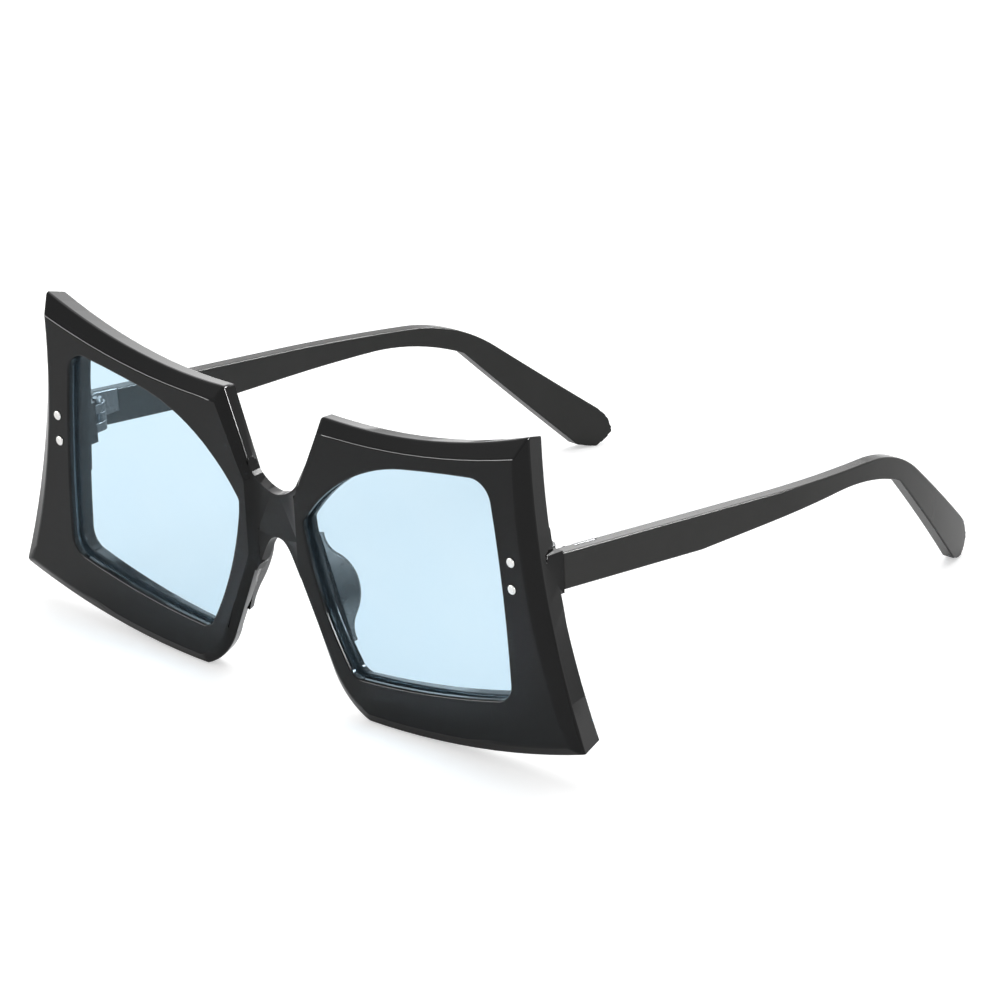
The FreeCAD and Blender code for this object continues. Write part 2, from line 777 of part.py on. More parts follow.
def temple_outline():
    """Side view along the top edge: straight arm, taper, ear bend and faceted paddle tip."""
    slant = size["temple_height"] * tangent(size["drop_angle"])
    crown = (size["bend_start"] + size["bend_run"], -size["bend_drop"])
    end = (crown[0] + size["tip_run"], crown[1] - size["tip_drop"])
    point = (end[0] + size["tip_nose_run"], end[1] - size["tip_nose_drop"])
    rear = (point[0] + size["tip_back_run"], point[1] - size["tip_back_drop"])
    sole = (rear[0] - size["tip_sole_run"], rear[1] - size["tip_sole_drop"])
    heel = (sole[0] - size["tip_heel_run"], sole[1] + size["tip_heel_rise"])
    hollow_end = (size["bend_inner_start"], -size["bend_height"])
    hollow_start = (hollow_end[0] + size["bend_inner_run"], hollow_end[1] - size["bend_inner_drop"])
    corners = [
        (ZERO, ZERO),
        (size["bend_start"], ZERO),
        crown,
        end,
        point,
        rear,
        sole,
        heel,
        hollow_start,
        hollow_end,
        (size["straight_length"], -size["straight_height"]),
        (slant, -size["temple_height"]),
    ]
    swells = [None] * len(corners)
    swells[1] = size["bend_swell"]
    swells[8] = -size["bend_inner_hollow"]
    return corners, swells


def sweep_fall(radius, reach):
    """How far an arc that starts straight back has turned in after a reach, and its bow off the chord."""
    fall = radius - root(radius * radius - reach * reach)
    chord = reach * reach + fall * fall
    return fall, radius - root(radius * radius - chord / 4)


def temple_plan(reach):
    """Plan of the temple: a strip that runs straight back from ahead of the butt, then sweeps in."""
    outside = size["temple_offset"] + size["temple_thickness"]
    butt = -(size["lug_face"] + size["overrun"])
    inner_radius = size["sweep_radius"] - size["temple_thickness"]
    outer_fall, outer_bow = sweep_fall(size["sweep_radius"], reach)
    inner_fall, inner_bow = sweep_fall(inner_radius, reach)
    stop = size["sweep_start"] + reach
    corners = [
        (outside, butt),
        (outside, size["sweep_start"]),
        (outside - outer_fall, stop),
        (size["temple_offset"] - inner_fall, stop),
        (size["temple_offset"], size["sweep_start"]),
        (size["temple_offset"], butt),
    ]
    return corners, [None, -outer_bow, None, inner_bow, None, None]


def build_temple():
    """Strip swept in plan, trimmed to the side view, with a seat for the hinge blade."""
    body = new_body("temple_left")
    length = ZERO
    for stretch in ("bend_start", "bend_run", "tip_run", "tip_nose_run", "tip_back_run"):
        length = length + size[stretch]
    plan = new_sketch(body, "temple_plan", "XY_Plane", (ZERO, ZERO, size["temple_rise"] + size["overrun"]))
    draw(plan, *temple_plan(length + size["overrun"] - size["sweep_start"]))
    extrude(body, "Pad", plan, "strip", length, reverse=True)

    place = (-(size["lug_face"] - size["temple_gap"]), size["temple_rise"], size["temple_offset"])
    side = new_sketch(body, "temple_side", "YZ_Plane", place, (0, 0, 1), -size["drop_angle"])
    draw(side, *temple_outline())
    draw_box(side, -length, length * 2, -length * 2, length)
    extrude(body, "Pocket", side, "side_trim", symmetric=True)

    fit = size["leaf_fit"]
    start = size["blade_start"]
    height = size["blade_half_height"] + fit
    seat = new_sketch(body, "blade_seat", "YZ_Plane", (ZERO, ZERO, size["temple_offset"]))
    draw_box(seat, start - fit, start + size["blade_length"] + fit, -height, height)
    extrude(body, "Pocket", seat, "blade_seat_cut", size["blade_thickness"] + fit, reverse=True)
    return body


def hinge_place(across=0, up=0):
    """Placement in the hinge frame, moved across it and up it."""
    pin = FreeCAD.Vector(PIN_X.number, PIN_Y.number, PIN_Z.number)
    step = HINGE_TURN.multVec(FreeCAD.Vector(across, 0, up))
    return FreeCAD.Placement(pin + step, HINGE_TURN)


def pad_place():
    """Placement of the nose pad on the sloping back of the rim."""
    run = size["heel_x"].number - size["nose_x"].number + 2 * size["overrun"].number
    fall = (size["rim_depth"].number - size["rim_nose_depth"].number) / run
    inner = size["nose_x"].number - size["overrun"].number
    pad_x = size["nose_x"].number + size["pad_inset"].number
    pad_z = size["nose_low_z"].number - size["pad_drop"].number
    depth = size["rim_nose_depth"].number + fall * (pad_x - inner)
    tilt = FreeCAD.Rotation(FreeCAD.Vector(1, 0, 0), -size["back_tilt_angle"].number)
    back_turn = FACE_TURN.multiply(tilt)
    lean = FreeCAD.Rotation(FreeCAD.Vector(0, 0, 1), math.degrees(math.atan(fall)))
    slope = FreeCAD.Rotation(FreeCAD.Vector(0, 1, 0), -size["pad_slope_angle"].number)
    seat = FreeCAD.Vector(pad_x, depth, pad_z)
    return FreeCAD.Placement(back_turn.multVec(seat), back_turn.multiply(lean).multiply(slope))


def lowest(shape, turn):
    """Height of the lowest point of a shape once it is turned."""
    copy = shape.copy()
    copy.Placement = FreeCAD.Placement(FreeCAD.Vector(), turn).multiply(copy.Placement)
    return copy.optimalBoundingBox(False, False).ZMin


def settle(front, temple):
    """Turn about x at which the rims and the temple tips stand on the same level."""
    reach = temple.BoundBox.YMax
    angle = 0.0
    for step in range(SETTLING_STEPS):
        turn = FreeCAD.Rotation(FreeCAD.Vector(1, 0, 0), angle)
        gap = lowest(front, turn) - lowest(temple, turn)
        angle += math.degrees(math.atan(gap / reach))
    return FreeCAD.Rotation(FreeCAD.Vector(1, 0, 0), angle)


def stand(placed):
    """Stand the whole object on the table, with its origin under the middle of its box."""
    for body, place in placed:
        body.Placement = place
    turn = settle(placed[0][0].Shape, placed[1][0].Shape)
    whole = Part.makeCompound([body.Shape for body, place in placed])
    whole.Placement = FreeCAD.Placement(FreeCAD.Vector(), turn)
    box = whole.optimalBoundingBox(False, False)
    shift = FreeCAD.Vector(0, -(box.YMin + box.YMax) / 2, -box.ZMin)
    rest = FreeCAD.Placement(shift, turn)
    for body, place in placed:
        body.Placement = rest.multiply(place)
    doc.recompute()


def mirrored(body):
    """Right-hand twin of a left-hand piece."""
    name = body.Label.replace("left", "right")
    twin = doc.addObject("Part::Mirroring", name)
    twin.Label = name
    twin.Source = body
    twin.Normal = FreeCAD.Vector(1, 0, 0)
    return twin


def build_rivets():
    rivets = []
    pitch = size["rivet_half_pitch"].number
    for name, step in (("upper", pitch), ("lower", -pitch)):
        place = hinge_place(size["rivet_outward"].number, step + size["rivet_rise"].number)
        rivets.append((build_rivet(f"rivet_{name}_left"), place))
    return rivets


def write_parts(pieces):
    """Refuse a failed feature or a broken solid, then write each piece."""
    for item in doc.Objects:
        if "Invalid" in item.State or "Error" in item.State:
            raise RuntimeError(f"{item.Label} failed")
    for piece in pieces:
        if piece.Shape.isNull() or not piece.Shape.isValid():
            raise RuntimeError(f"{piece.Label} has no sound shape")
    os.makedirs("parts", exist_ok=True)
    for piece in pieces:
        piece.Shape.exportStep(f"parts/{piece.Label}.step")


def main():
    level = FreeCAD.Placement()
    front = (build_front(), level)
    sided = [
        (build_temple(), hinge_place()),
        (build_lens(), level),
        (build_nose_pad(), pad_place()),
        (build_front_leaf(), hinge_place()),
        (build_temple_leaf(), hinge_place()),
        (build_pin(), hinge_place()),
    ]
    sided += build_rivets()
    stand([front] + sided)
    twins = [mirrored(body) for body, place in sided]
    doc.recompute()
    write_parts([front[0]] + [body for body, place in sided] + twins)


main()
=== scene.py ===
import json
import math

import bmesh
import bpy
from mathutils import Matrix, Vector
from mathutils.geometry import interpolate_bezier


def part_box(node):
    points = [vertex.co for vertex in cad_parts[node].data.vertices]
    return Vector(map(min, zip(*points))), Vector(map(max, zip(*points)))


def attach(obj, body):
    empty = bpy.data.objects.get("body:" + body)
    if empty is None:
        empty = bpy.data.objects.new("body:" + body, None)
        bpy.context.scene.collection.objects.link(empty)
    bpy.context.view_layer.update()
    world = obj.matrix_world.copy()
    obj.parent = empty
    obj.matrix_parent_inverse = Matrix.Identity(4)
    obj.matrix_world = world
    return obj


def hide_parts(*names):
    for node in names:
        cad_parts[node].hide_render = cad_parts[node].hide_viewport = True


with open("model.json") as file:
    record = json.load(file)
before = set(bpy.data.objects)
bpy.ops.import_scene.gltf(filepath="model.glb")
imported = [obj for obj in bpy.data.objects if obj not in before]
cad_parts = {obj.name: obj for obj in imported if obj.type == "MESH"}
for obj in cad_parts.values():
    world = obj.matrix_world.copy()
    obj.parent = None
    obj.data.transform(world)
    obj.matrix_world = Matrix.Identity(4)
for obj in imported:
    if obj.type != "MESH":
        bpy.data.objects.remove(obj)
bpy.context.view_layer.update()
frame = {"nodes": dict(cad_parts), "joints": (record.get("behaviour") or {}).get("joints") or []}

MM = 0.001
SIDES = ("left", "right")

# The photograph's view: the camera's turn and height about its aim, in degrees, and its distance, in metres.
VIEW_AZIMUTH = 42.254
VIEW_ELEVATION = 20.343
VIEW_DISTANCE = 1.03888
VIEW_AIM = Vector((21.94, -35.635, 35.74)) * MM
# Focal length in pixels of the square picture, and that picture's width in pixels and on the sensor.
FOCAL_PIXELS = 5183.5
PICTURE_PIXELS = 1000
SENSOR_WIDTH = 36.0
# Nearest distance that the camera sees, in metres.
CLIP_START = 0.01

# Rounding of the moulded and the stamped edges.
FRONT_EDGE_RADIUS = 0.42 * MM
TEMPLE_EDGE_RADIUS = 0.35 * MM
PAD_EDGE_RADIUS = 0.06 * MM
HINGE_EDGE_RADIUS = 0.12 * MM
EDGE_STEPS = 3
# Angle between two faces past which their edge is a real one, and below which they are one flat.
SHARP_ANGLE = math.radians(24)
FLAT_ANGLE = math.radians(0.6)
WELD_DISTANCE = 0.002 * MM
# A rounding takes at most this share of the shortest line beside its edge. A line that runs on along the
# edge, with a cosine below this one, doesn't count.
ROOM_SHARE = 0.4
IN_LINE = -0.9
# The bridge, this far to each side, and the hinge lugs, within these bounds, keep their edges as cut.
BRIDGE_HALF_WIDTH = 7.0 * MM
LUG_INNER_X = 57.0 * MM
LUG_FRONT_Y = -72.6 * MM
LUG_LOW_Z = 35.0 * MM
LUG_HIGH_Z = 49.0 * MM

# Arch under the bridge: the bend of one half, from the crown out to the foot, and how far the cut runs in y.
ARCH_CROWN = Vector((0.0, 0.0, 33.6)) * MM
ARCH_CROWN_PULL = Vector((2.6, 0.0, 33.6)) * MM
ARCH_FOOT_PULL = Vector((3.3, 0.0, 31.0)) * MM
ARCH_FOOT = Vector((6.0, 0.0, 25.6)) * MM
ARCH_STEPS = 24
ARCH_FRONT = -84.0 * MM
ARCH_DEPTH = 18.0 * MM
# Top line of a temple beside its hinge, from the front to the end of the leaf.
TEMPLE_TOP_FRONT = Vector((0.0, -69.03, 45.76)) * MM
TEMPLE_TOP_BEHIND = Vector((0.0, -57.01, 44.71)) * MM

# Rivets: a low domed head on the face of the front, and the shank behind it.
RIVET_HEAD_RADIUS = 1.0 * MM
RIVET_CROWN = 0.22 * MM
RIVET_SHANK_RADIUS = 0.7 * MM
RIVET_HEAD_STEPS = 32
RIVET_HEAD_RINGS = 16
SHANK_STEPS = 24
# Hinge screws: a slotted, tapered head on top of the barrel, and the shank that is the pin.
SCREW_HEAD_RADIUS = 1.15 * MM
SCREW_RIM_RADIUS = 0.95 * MM
SCREW_HEAD_HEIGHT = 0.7 * MM
SCREW_SHANK_RADIUS = 0.68 * MM
SCREW_HEAD_STEPS = 36
SCREW_SLOT_WIDTH = 0.3 * MM
SCREW_SLOT_DEPTH = 0.35 * MM
# The saw that cuts a slot, in head radii along and in slot depths high, half of it above the head.
SAW_LENGTH_SHARE = 3.0
SAW_HEIGHT_SHARE = 2.0
# How far the two slots were left turned when the screws came tight.
SCREW_TURNS = (math.radians(35), math.radians(-50))

# Finishes: scales are waves to the metre, and wipe amounts add to the roughness.
PLASTIC_HAZE_SCALE = 1400.0
PLASTIC_WIPE_AMOUNT = 0.03
PLASTIC_RELIEF_DEPTH = 0.02 * MM
METAL_WAVE_SCALE = 700.0
METAL_HAZE_SCALE = 5000.0
METAL_ROUGHNESS = (0.16, 0.3)
METAL_WIPE_STRETCH = (3000.0, 3000.0, 300.0)
METAL_WIPE_AMOUNT = 0.18
LENS_DEEP_TINT = (0.67, 0.87, 1.0)
LENS_PALE_TINT = (0.71, 0.89, 1.0)
LENS_SHADOW_TINT = (0.72, 0.9, 1.0, 1.0)
LENS_CLEARNESS = 0.985
LENS_REFRACTION = 1.16
LENS_WAVE_SCALE = 60.0
LENS_HAZE = 0.02

# Studio: brightness of the surround and the table, and the table's size and the lamps' aim, in metres.
SURROUND_FILL = 0.6
SURROUND_FRONT = 0.8
SURROUND_BACK = 1.0
# Where the mirrored surround starts and stops changing from front to back, as the y of its direction.
SURROUND_FRONT_END = -0.2
SURROUND_BACK_START = 0.5
TABLE_HALF_WIDTH = 3.0
TABLE_COLOUR = (0.8, 0.8, 0.8, 1)
TABLE_GLOW = 0.5
TABLE_GLOW_MIRRORED = 0.155
LAMP_AIM = Vector((0, 0, 0.03))
WHITE = (1, 1, 1, 1)

# The colour sockets of a Mix node share their names with its number sockets, so they are taken by place.
MIX_FIRST_COLOUR = 6
MIX_SECOND_COLOUR = 7
MIX_COLOUR = 2


# Small helpers for objects and node trees.


def link(item):
    bpy.context.scene.collection.objects.link(item)
    return item


def settle_modifiers(item):
    """Turn an object with live modifiers into one plain mesh."""
    shown = item.evaluated_get(bpy.context.evaluated_depsgraph_get())
    mesh = bpy.data.meshes.new_from_object(shown)
    mesh.name = item.name
    item.modifiers.clear()
    item.data = mesh


def fill_inputs(made, inputs):
    """Set a node's inputs by their names, with underscores for spaces."""
    for name, value in inputs.items():
        made.inputs[name.replace("_", " ")].default_value = value


def add_node(tree, kind, place=(0, 0), **inputs):
    """New node at a place in the tree, with the named inputs set."""
    made = tree.nodes.new(kind)
    made.location = place
    fill_inputs(made, inputs)
    return made


def join(tree, source, socket, target, entry):
    tree.links.new(source.outputs[socket], target.inputs[entry])


def calculate(tree, operation, place, first, second):
    """Math node on two inputs, each a number or a node with the name of its output."""
    made = add_node(tree, "ShaderNodeMath", place)
    made.operation = operation
    for entry, value in enumerate((first, second)):
        if isinstance(value, tuple):
            join(tree, value[0], value[1], made, entry)
        else:
            made.inputs[entry].default_value = value
    return made


def new_group(name, inputs, outputs):
    """Shader node group with named inputs and outputs, and its two end nodes."""
    group = bpy.data.node_groups.new(name, "ShaderNodeTree")
    for label, kind, value in inputs:
        socket = group.interface.new_socket(label, in_out="INPUT", socket_type=kind)
        if value is not None:
            socket.default_value = value
    for label, kind in outputs:
        group.interface.new_socket(label, in_out="OUTPUT", socket_type=kind)
    entry = add_node(group, "NodeGroupInput", (-900, 0))
    leave = add_node(group, "NodeGroupOutput", (700, 0))
    return group, entry, leave


def place_group(tree, group, place, **inputs):
    """Node that stands for a shader group, with the named inputs set."""
    made = add_node(tree, "ShaderNodeGroup", place)
    made.node_tree = group
    fill_inputs(made, inputs)
    return made


def paint(tree, shader, first, second, mask, output):
    """Give a shader a colour between two, chosen at each spot by a node's mask."""
    blend = add_node(tree, "ShaderNodeMix", (-200, 250))
    blend.data_type = "RGBA"
    blend.inputs[MIX_FIRST_COLOUR].default_value = (*first, 1)
    blend.inputs[MIX_SECOND_COLOUR].default_value = (*second, 1)
    join(tree, mask, output, blend, "Factor")
    join(tree, blend, MIX_COLOUR, shader, "Base Color")


def empty_material(name):
    """Material with nothing but its output, which is given with its tree."""
    material = bpy.data.materials.new(name)
    material.use_nodes = True
    tree = material.node_tree
    tree.nodes.clear()
    output = add_node(tree, "ShaderNodeOutputMaterial", (600, 0))
    return material, tree, output


def shader_and_spot(tree):
    """Principled shader, and the node of the piece's own coordinates."""
    shader = add_node(tree, "ShaderNodeBsdfPrincipled", (200, 0))
    spot = add_node(tree, "ShaderNodeTexCoord", (-1100, 0))
    return shader, spot


# Shared surface effects.


def moulded_grain_group():
    """Fine skin of a moulding: a soft long wave left by the mould and a much finer polish haze."""
    group, entry, leave = new_group(
        "moulded_grain",
        [
            ("Vector", "NodeSocketVector", None),
            ("Wave Scale", "NodeSocketFloat", 90.0),
            ("Haze Scale", "NodeSocketFloat", PLASTIC_HAZE_SCALE),
            ("Low Roughness", "NodeSocketFloat", 0.1),
            ("High Roughness", "NodeSocketFloat", 0.2),
        ],
        [("Roughness", "NodeSocketFloat"), ("Height", "NodeSocketFloat"), ("Wave", "NodeSocketFloat")],
    )
    wave = add_node(group, "ShaderNodeTexNoise", (-600, 200), Detail=2.0)
    haze = add_node(group, "ShaderNodeTexNoise", (-600, -200), Detail=3.0)
    for texture, scale in ((wave, "Wave Scale"), (haze, "Haze Scale")):
        join(group, entry, "Vector", texture, "Vector")
        join(group, entry, scale, texture, "Scale")
    blend = add_node(group, "ShaderNodeMix", (-300, 0), Factor=0.5)
    join(group, wave, "Fac", blend, "A")
    join(group, haze, "Fac", blend, "B")
    spread = add_node(group, "ShaderNodeMapRange", (0, 0), From_Min=0.3, From_Max=0.7)
    join(group, blend, "Result", spread, "Value")
    join(group, entry, "Low Roughness", spread, "To Min")
    join(group, entry, "High Roughness", spread, "To Max")
    join(group, spread, "Result", leave, "Roughness")
    join(group, haze, "Fac", leave, "Height")
    join(group, wave, "Fac", leave, "Wave")
    return group


def wipe_marks_group():
    """Hair-fine wipe marks, longer one way than across, that dull a polished surface here and there."""
    group, entry, leave = new_group(
        "wipe_marks",
        [
            ("Vector", "NodeSocketVector", None),
            ("Stretch", "NodeSocketVector", (40.0, 40.0, 900.0)),
            ("Amount", "NodeSocketFloat", 0.05),
            ("Roughness", "NodeSocketFloat", 0.15),
        ],
        [("Roughness", "NodeSocketFloat"), ("Mask", "NodeSocketFloat")],
    )
    stretch = add_node(group, "ShaderNodeVectorMath", (-700, 150))
    stretch.operation = "MULTIPLY"
    join(group, entry, "Vector", stretch, 0)
    join(group, entry, "Stretch", stretch, 1)
    streak = add_node(group, "ShaderNodeTexNoise", (-500, 150), Scale=1.0, Detail=4.0, Roughness=0.7)
    join(group, stretch, "Vector", streak, "Vector")
    sharpen = add_node(group, "ShaderNodeMapRange", (-250, 150), From_Min=0.55, From_Max=0.8)
    join(group, streak, "Fac", sharpen, "Value")
    dulling = calculate(group, "MULTIPLY", (0, 150), (sharpen, "Result"), (entry, "Amount"))
    total = calculate(group, "ADD", (250, 0), (dulling, "Value"), (entry, "Roughness"))
    join(group, total, "Value", leave, "Roughness")
    join(group, sharpen, "Result", leave, "Mask")
    return group


MOULDED_GRAIN = moulded_grain_group()
WIPE_MARKS = wipe_marks_group()


# Materials.


def finished_skin(tree, spot, wave_scale, haze_scale, roughness, stretch, amount):
    """Mould grain and wipe marks, placed in a material and tied to the piece's own coordinates."""
    low, high = roughness
    grain = place_group(
        tree,
        MOULDED_GRAIN,
        (-800, 0),
        Wave_Scale=wave_scale,
        Haze_Scale=haze_scale,
        Low_Roughness=low,
        High_Roughness=high,
    )
    marks = place_group(tree, WIPE_MARKS, (-500, -100), Stretch=stretch, Amount=amount)
    join(tree, spot, "Object", grain, "Vector")
    join(tree, spot, "Object", marks, "Vector")
    join(tree, grain, "Roughness", marks, "Roughness")
    return grain, marks


def plastic(name, dark, pale, roughness, wave_scale, relief, stretch, refraction):
    """Moulded plastic with mould waves, polish haze and wipe marks."""
    material, tree, output = empty_material(name)
    shader, spot = shader_and_spot(tree)
    join(tree, shader, "BSDF", output, "Surface")
    grain, marks = finished_skin(
        tree, spot, wave_scale, PLASTIC_HAZE_SCALE, roughness, stretch, PLASTIC_WIPE_AMOUNT
    )
    paint(tree, shader, dark, pale, grain, "Wave")
    join(tree, marks, "Roughness", shader, "Roughness")
    bump = add_node(tree, "ShaderNodeBump", (-200, -300), Strength=relief, Distance=PLASTIC_RELIEF_DEPTH)
    join(tree, grain, "Height", bump, "Height")
    join(tree, bump, "Normal", shader, "Normal")
    shader.inputs["IOR"].default_value = refraction
    return material


def plated_metal(name, bright, worn):
    """Nickel-plated metal, drawn fine along its height."""
    material, tree, output = empty_material(name)
    shader, spot = shader_and_spot(tree)
    join(tree, shader, "BSDF", output, "Surface")
    marks = finished_skin(
        tree,
        spot,
        METAL_WAVE_SCALE,
        METAL_HAZE_SCALE,
        METAL_ROUGHNESS,
        METAL_WIPE_STRETCH,
        METAL_WIPE_AMOUNT,
    )[1]
    paint(tree, shader, bright, worn, marks, "Mask")
    join(tree, marks, "Roughness", shader, "Roughness")
    shader.inputs["Metallic"].default_value = 1.0
    return material


def lens_blue():
    """Pale sky-blue lens; light that falls through it to the table passes with the same tint."""
    material, tree, output = empty_material("lens_blue")
    shader, spot = shader_and_spot(tree)
    shader.inputs["Transmission Weight"].default_value = LENS_CLEARNESS
    shader.inputs["IOR"].default_value = LENS_REFRACTION
    grain = place_group(
        tree,
        MOULDED_GRAIN,
        (-600, 0),
        Wave_Scale=LENS_WAVE_SCALE,
        Low_Roughness=0.0,
        High_Roughness=LENS_HAZE,
    )
    join(tree, spot, "Object", grain, "Vector")
    paint(tree, shader, LENS_DEEP_TINT, LENS_PALE_TINT, grain, "Wave")
    join(tree, grain, "Roughness", shader, "Roughness")
    passing = add_node(tree, "ShaderNodeBsdfTransparent", (200, -300), Color=LENS_SHADOW_TINT)
    path = add_node(tree, "ShaderNodeLightPath", (0, 300))
    choice = add_node(tree, "ShaderNodeMixShader", (420, 0))
    join(tree, path, "Is Shadow Ray", choice, 0)
    join(tree, shader, "BSDF", choice, 1)
    join(tree, passing, "BSDF", choice, 2)
    join(tree, choice, "Shader", output, "Surface")
    return material


# Pieces that keep a CAD node's shape and get finished edges.


def welded_copy(node, name):
    """Copy of a CAD node's mesh with its loose triangles joined."""
    mesh = frame["nodes"][node].data.copy()
    mesh.name = name
    work = bmesh.new()
    work.from_mesh(mesh)
    bmesh.ops.remove_doubles(work, verts=work.verts, dist=WELD_DISTANCE)
    work.to_mesh(mesh)
    work.free()
    return mesh


def arch_cutter():
    """Bar with the section of the round arch, which runs through the bridge from front to back."""
    half = interpolate_bezier(ARCH_CROWN, ARCH_CROWN_PULL, ARCH_FOOT_PULL, ARCH_FOOT, ARCH_STEPS)
    line = [(-point.x, ARCH_FRONT, point.z) for point in reversed(half[1:])]
    line += [(point.x, ARCH_FRONT, point.z) for point in half]
    work = bmesh.new()
    near = work.faces.new([work.verts.new(point) for point in line])
    far = bmesh.ops.extrude_face_region(work, geom=[near], use_keep_orig=True)
    moved = [part for part in far["geom"] if isinstance(part, bmesh.types.BMVert)]
    bmesh.ops.translate(work, vec=(0, ARCH_DEPTH, 0), verts=moved)
    bmesh.ops.recalc_face_normals(work, faces=work.faces)
    shape = bpy.data.meshes.new("arch_cutter")
    work.to_mesh(shape)
    work.free()
    return link(bpy.data.objects.new("arch_cutter", shape))


def round_arch(mesh):
    """Open the pointed arch under the bridge into a round one."""
    cutter = arch_cutter()
    blank = link(bpy.data.objects.new(mesh.name, mesh))
    cut = blank.modifiers.new("arch", "BOOLEAN")
    cut.operation = "DIFFERENCE"
    cut.solver = "EXACT"
    cut.object = cutter
    settle_modifiers(blank)
    opened = blank.data
    bpy.data.objects.remove(blank)
    bpy.data.objects.remove(cutter)
    return opened


def trim_leaf(mesh):
    """Bring the top of a temple's hinge leaf down flush with the temple."""
    along = TEMPLE_TOP_BEHIND - TEMPLE_TOP_FRONT
    upward = Vector((0, -along.z, along.y)).normalized()
    work = bmesh.new()
    work.from_mesh(mesh)
    parts = work.verts[:] + work.edges[:] + work.faces[:]
    bmesh.ops.bisect_plane(work, geom=parts, plane_co=TEMPLE_TOP_FRONT, plane_no=upward, clear_outer=True)
    bmesh.ops.holes_fill(work, edges=[edge for edge in work.edges if edge.is_boundary])
    work.to_mesh(mesh)
    work.free()
    return mesh


def any_edge(edge):
    return True


def clear_of_bridge_and_lugs(edge):
    """Whether an edge of the front, or of a pad on it, touches neither the bridge nor a hinge lug."""
    for corner in edge.verts:
        place = corner.co
        behind_rim = abs(place.x) > LUG_INNER_X and place.y > LUG_FRONT_Y
        at_lug = behind_rim and LUG_LOW_Z < place.z < LUG_HIGH_Z
        if at_lug or abs(place.x) < BRIDGE_HALF_WIDTH:
            return False
    return True


def room_beside(edge):
    """Length of the shortest line that leaves an edge sideways at either of its ends."""
    room = []
    for corner in edge.verts:
        along = (edge.other_vert(corner).co - corner.co).normalized()
        for line in corner.link_edges:
            away = line.other_vert(corner).co - corner.co
            if line is not edge and away.normalized().dot(along) > IN_LINE:
                room.append(away.length)
    return min(room, default=0.0)


def weigh_edges(mesh, radius, may_round):
    """Clear the lines across a mesh's flats, and weigh for rounding the real edges that may be rounded."""
    work = bmesh.new()
    work.from_mesh(mesh)
    bmesh.ops.triangulate(work, faces=work.faces)
    free = [edge for edge in work.edges if may_round(edge)]
    bmesh.ops.dissolve_limit(work, angle_limit=FLAT_ANGLE, verts=[], edges=free)
    weight = work.edges.layers.float.new("bevel_weight_edge")
    for edge in work.edges:
        if may_round(edge) and edge.is_manifold and edge.calc_face_angle() > SHARP_ANGLE:
            edge[weight] = min(1.0, ROOM_SHARE * room_beside(edge) / radius)
    work.to_mesh(mesh)
    work.free()


def softened(node, name, radius, material, body, mend=None, may_round=any_edge):
    """Copy of a CAD node, mended where asked, with its real edges rounded, which stands for that node."""
    mesh = welded_copy(node, name)
    if mend:
        mesh = mend(mesh)
    weigh_edges(mesh, radius, may_round)
    mesh.materials.clear()
    mesh.materials.append(material)
    mesh.shade_smooth()
    mesh.set_sharp_from_angle(angle=SHARP_ANGLE)
    piece = link(bpy.data.objects.new(name, mesh))
    bevel = piece.modifiers.new("edge_round", "BEVEL")
    bevel.width = radius
    bevel.segments = EDGE_STEPS
    bevel.limit_method = "WEIGHT"
    bevel.miter_outer = "MITER_ARC"
    bevel.use_clamp_overlap = False
    bevel.harden_normals = True
    even = piece.modifiers.new("flat_normals", "WEIGHTED_NORMAL")
    even.keep_sharp = True
    settle_modifiers(piece)
    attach(piece, body)
    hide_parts(node)


def dress(node, material):
    """Give a CAD node that keeps its own shape a finished material."""
    mesh = frame["nodes"][node].data
    mesh.materials.clear()
    mesh.materials.append(material)


# Rivets and screws, set on points by Geometry Nodes.


def fastener_tree(name, sizes):
    """Geometry tree with named sizes, a finish and its two end nodes."""
    tree = bpy.data.node_groups.new(name, "GeometryNodeTree")
    tree.interface.new_socket("Geometry", in_out="INPUT", socket_type="NodeSocketGeometry")
    for label in sizes:
        tree.interface.new_socket(label, in_out="INPUT", socket_type="NodeSocketFloat")
    tree.interface.new_socket("Finish", in_out="INPUT", socket_type="NodeSocketMaterial")
    tree.interface.new_socket("Geometry", in_out="OUTPUT", socket_type="NodeSocketGeometry")
    entry = add_node(tree, "NodeGroupInput", (-1400, 0))
    leave = add_node(tree, "NodeGroupOutput", (1200, 0))
    return tree, entry, leave


def shank_rod(tree, entry):
    """Rod that runs from the seat of the head down into the work."""
    rod = add_node(tree, "GeometryNodeMeshCylinder", (-900, -300), Vertices=SHANK_STEPS)
    join(tree, entry, "Shank Radius", rod, "Radius")
    join(tree, entry, "Shank Length", rod, "Depth")
    middle = calculate(tree, "MULTIPLY", (-900, -600), (entry, "Shank Length"), -0.5)
    down = add_node(tree, "ShaderNodeCombineXYZ", (-700, -600))
    join(tree, middle, "Value", down, "Z")
    sunk = add_node(tree, "GeometryNodeTransform", (-500, -300))
    join(tree, rod, "Mesh", sunk, "Geometry")
    join(tree, down, "Vector", sunk, "Translation")
    return sunk


